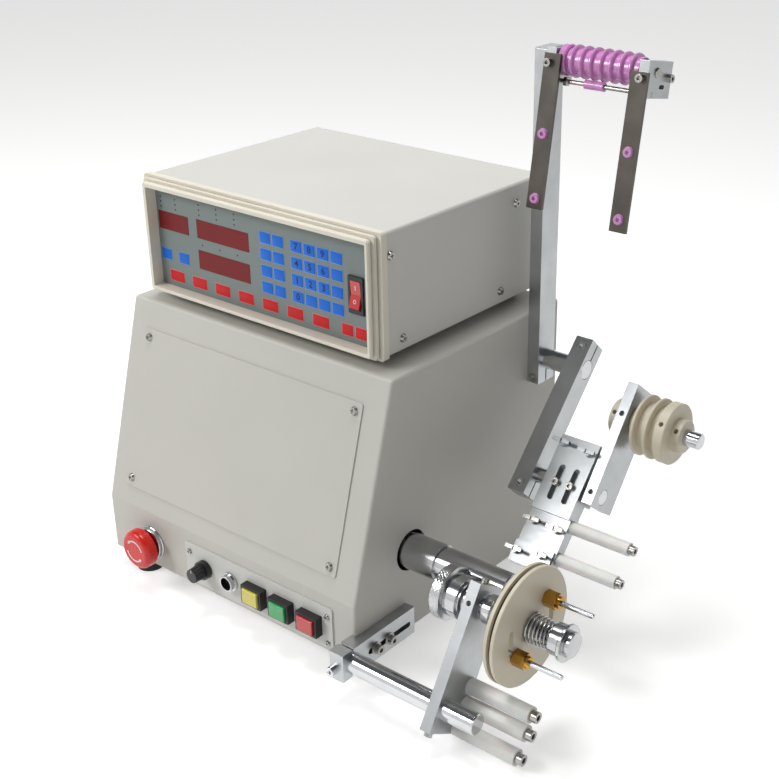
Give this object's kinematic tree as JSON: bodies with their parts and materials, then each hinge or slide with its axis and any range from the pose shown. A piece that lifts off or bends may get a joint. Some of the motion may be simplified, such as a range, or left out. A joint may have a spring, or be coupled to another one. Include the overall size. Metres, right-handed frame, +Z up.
{
  "type": "coil winding machine",
  "caption": "Bench coil winding machine: grey cabinet with control case on top, driven spindle, spring-loaded grooved disc, swinging bracket and wire guide arms.",
  "frame": {"origin": "centre of the footprint on the bench, under the feet", "axes": "+X to the right, where the spindle stands out; +Y to the back, away from the key panel; +Z up"},
  "size_m": [0.508, 0.3238, 0.4995],
  "materials": {
    "grey_paint": "fine texture powder coat",
    "plate_paint": "satin",
    "foot_rubber": "matte",
    "black_plastic": "satin",
    "red_plastic": "gloss",
    "green_plastic": "gloss",
    "yellow_plastic": "gloss",
    "polished_steel": "polished",
    "screw_steel": "satin",
    "bezel_plastic": "satin",
    "keypad_film": "satin",
    "panel_sheet": "satin",
    "display_red": "gloss",
    "circuit_board": "satin",
    "motor_black": "satin",
    "belt_rubber": "matte",
    "block_iron": "matte",
    "milled_aluminium": "brushed",
    "cream_plastic": "satin",
    "brass": "satin",
    "spring_steel": "polished",
    "white_nylon": "satin",
    "pink_ceramic": "gloss",
    "dark_steel": "brushed"
  },
  "bodies": {
    "cabinet": {"cabinet_shell": "grey_paint", "base_plate": "grey_paint", "back_cover": "grey_paint", "access_cover": "grey_paint", "rubber_feet": "foot_rubber", "button_plate": "plate_paint", "switch_bezels": "black_plastic", "pedal_socket": "polished_steel", "control_bodies": "black_plastic", "case_cover": "grey_paint", "case_chassis": "grey_paint", "power_inlet": "black_plastic", "front_bezel": "bezel_plastic", "keypad_film": "keypad_film", "front_panel": "panel_sheet", "display_windows": "display_red", "control_board": "circuit_board", "drive_motor": "motor_black", "drive_belt": "belt_rubber", "bearing_blocks": "block_iron", "guide_post": "milled_aluminium", "upper_rod": "polished_steel", "fixing_screws": "screw_steel"},
    "stop_button": {"estop_head": "red_plastic"},
    "knob": {"speed_knob": "black_plastic"},
    "yellow_button": {"button_yellow": "yellow_plastic"},
    "green_button": {"button_green": "green_plastic"},
    "red_button": {"button_red": "red_plastic"},
    "rocker": {"power_rocker": "red_plastic"},
    "motor_shaft": {"motor_pulley": "panel_sheet"},
    "spindle": {"main_spindle": "polished_steel", "spindle_pulley": "panel_sheet"},
    "bracket": {"bracket_bar": "milled_aluminium", "lower_rod": "polished_steel"},
    "swing_bracket": {"swing_plate": "milled_aluminium", "plate_bearing": "polished_steel", "bracket_screws": "screw_steel", "lower_tubes": "white_nylon"},
    "chuck": {"chuck_body": "polished_steel", "knurled_collar": "polished_steel", "mandrel": "polished_steel", "end_collar": "polished_steel", "spring": "spring_steel"},
    "disc": {"grooved_disc": "cream_plastic", "brass_posts": "brass", "drive_pins": "polished_steel"},
    "arm": {"swing_arm": "milled_aluminium", "link_rod": "polished_steel"},
    "guide": {"guide_plates": "milled_aluminium", "guide_screws": "screw_steel", "upper_tubes": "white_nylon"},
    "guide_slide": {"slotted_plate": "milled_aluminium"},
    "pulley_holder": {"pulley_arm": "milled_aluminium"},
    "wire_wheel": {"pulley_shaft": "polished_steel", "wire_pulley": "cream_plastic"},
    "head": {"head_blocks": "milled_aluminium", "head_rods": "screw_steel", "hanging_bars": "dark_steel", "eyelets": "pink_ceramic"},
    "roller": {"wire_roller": "pink_ceramic"}
  },
  "joints": [
    {"name": "stop_push", "type": "slide", "parent": "cabinet", "child": "stop_button", "axis": [0, 1, 0], "range_m": [0, 0.004], "stiffness_N_per_m": 600},
    {"name": "knob_turn", "type": "hinge", "parent": "cabinet", "child": "knob", "pos_m": [-0.1233, -0.12573, 0.0437], "axis": [0, -1, 0], "range_deg": [-140, 140]},
    {"name": "yellow_push", "type": "slide", "parent": "cabinet", "child": "yellow_button", "axis": [0, 1, 0], "range_m": [0, 0.0025], "stiffness_N_per_m": 400},
    {"name": "green_push", "type": "slide", "parent": "cabinet", "child": "green_button", "axis": [0, 1, 0], "range_m": [0, 0.0025], "stiffness_N_per_m": 400},
    {"name": "red_push", "type": "slide", "parent": "cabinet", "child": "red_button", "axis": [0, 1, 0], "range_m": [0, 0.0025], "stiffness_N_per_m": 400},
    {"name": "rocker_tilt", "type": "hinge", "parent": "cabinet", "child": "rocker", "pos_m": [0.0094, -0.05313, 0.3185], "axis": [1, 0, 0], "range_deg": [0, 12]},
    {"name": "spindle_spin", "type": "hinge", "parent": "cabinet", "child": "spindle", "pos_m": [-0.064, -0.05323, 0.0969], "axis": [1, 0, 0], "continuous": true},
    {"name": "motor_spin", "type": "hinge", "parent": "cabinet", "child": "motor_shaft", "pos_m": [-0.014, 0.04627, 0.0969], "axis": [1, 0, 0], "continuous": true},
    {"name": "bar_slide", "type": "slide", "parent": "cabinet", "child": "bracket", "axis": [0, 1, 0], "range_m": [-0.02, 0]},
    {"name": "plate_swing", "type": "hinge", "parent": "bracket", "child": "swing_bracket", "pos_m": [0.156, -0.14073, 0.035], "axis": [1, 0, 0], "range_deg": [0, 40]},
    {"name": "mandrel_spin", "type": "hinge", "parent": "swing_bracket", "child": "chuck", "pos_m": [0.126, -0.09072, 0.10351], "axis": [1, 0, 0], "continuous": true},
    {"name": "disc_slide", "type": "slide", "parent": "chuck", "child": "disc", "axis": [1, 0, 0], "range_m": [0, 0.007], "stiffness_N_per_m": 900, "springref_m": -0.004, "deforming": ["spring"]},
    {"name": "arm_swing", "type": "hinge", "parent": "cabinet", "child": "arm", "pos_m": [0.097, 0.12587, 0.2173], "axis": [1, 0, 0], "range_deg": [-5, 25]},
    {"name": "guide_swing", "type": "hinge", "parent": "arm", "child": "guide", "pos_m": [0.167, 0.05542, 0.14175], "axis": [1, 0, 0], "range_deg": [-5, 20]},
    {"name": "plate_slide", "type": "slide", "parent": "guide", "child": "guide_slide", "axis": [0, 0.6691, 0.7431], "range_m": [-0.004, 0.01]},
    {"name": "pulley_swing", "type": "hinge", "parent": "arm", "child": "pulley_holder", "pos_m": [0.17, 0.05542, 0.14175], "axis": [1, 0, 0], "range_deg": [-20, 20]},
    {"name": "wheel_spin", "type": "hinge", "parent": "pulley_holder", "child": "wire_wheel", "pos_m": [0.17, 0.10285, 0.19531], "axis": [1, 0, 0], "continuous": true},
    {"name": "head_tilt", "type": "hinge", "parent": "cabinet", "child": "head", "pos_m": [0.0709, 0.12587, 0.486], "axis": [1, 0, 0], "range_deg": [-30, 30]},
    {"name": "roller_spin", "type": "hinge", "parent": "head", "child": "roller", "pos_m": [0.093, 0.12587, 0.486], "axis": [1, 0, 0], "continuous": true}
  ],
  "couplings": [
    {"joint": "motor_spin", "follows": "spindle_spin", "ratio": 2.2069},
    {"joint": "mandrel_spin", "follows": "spindle_spin", "ratio": -0.65148}
  ]
}
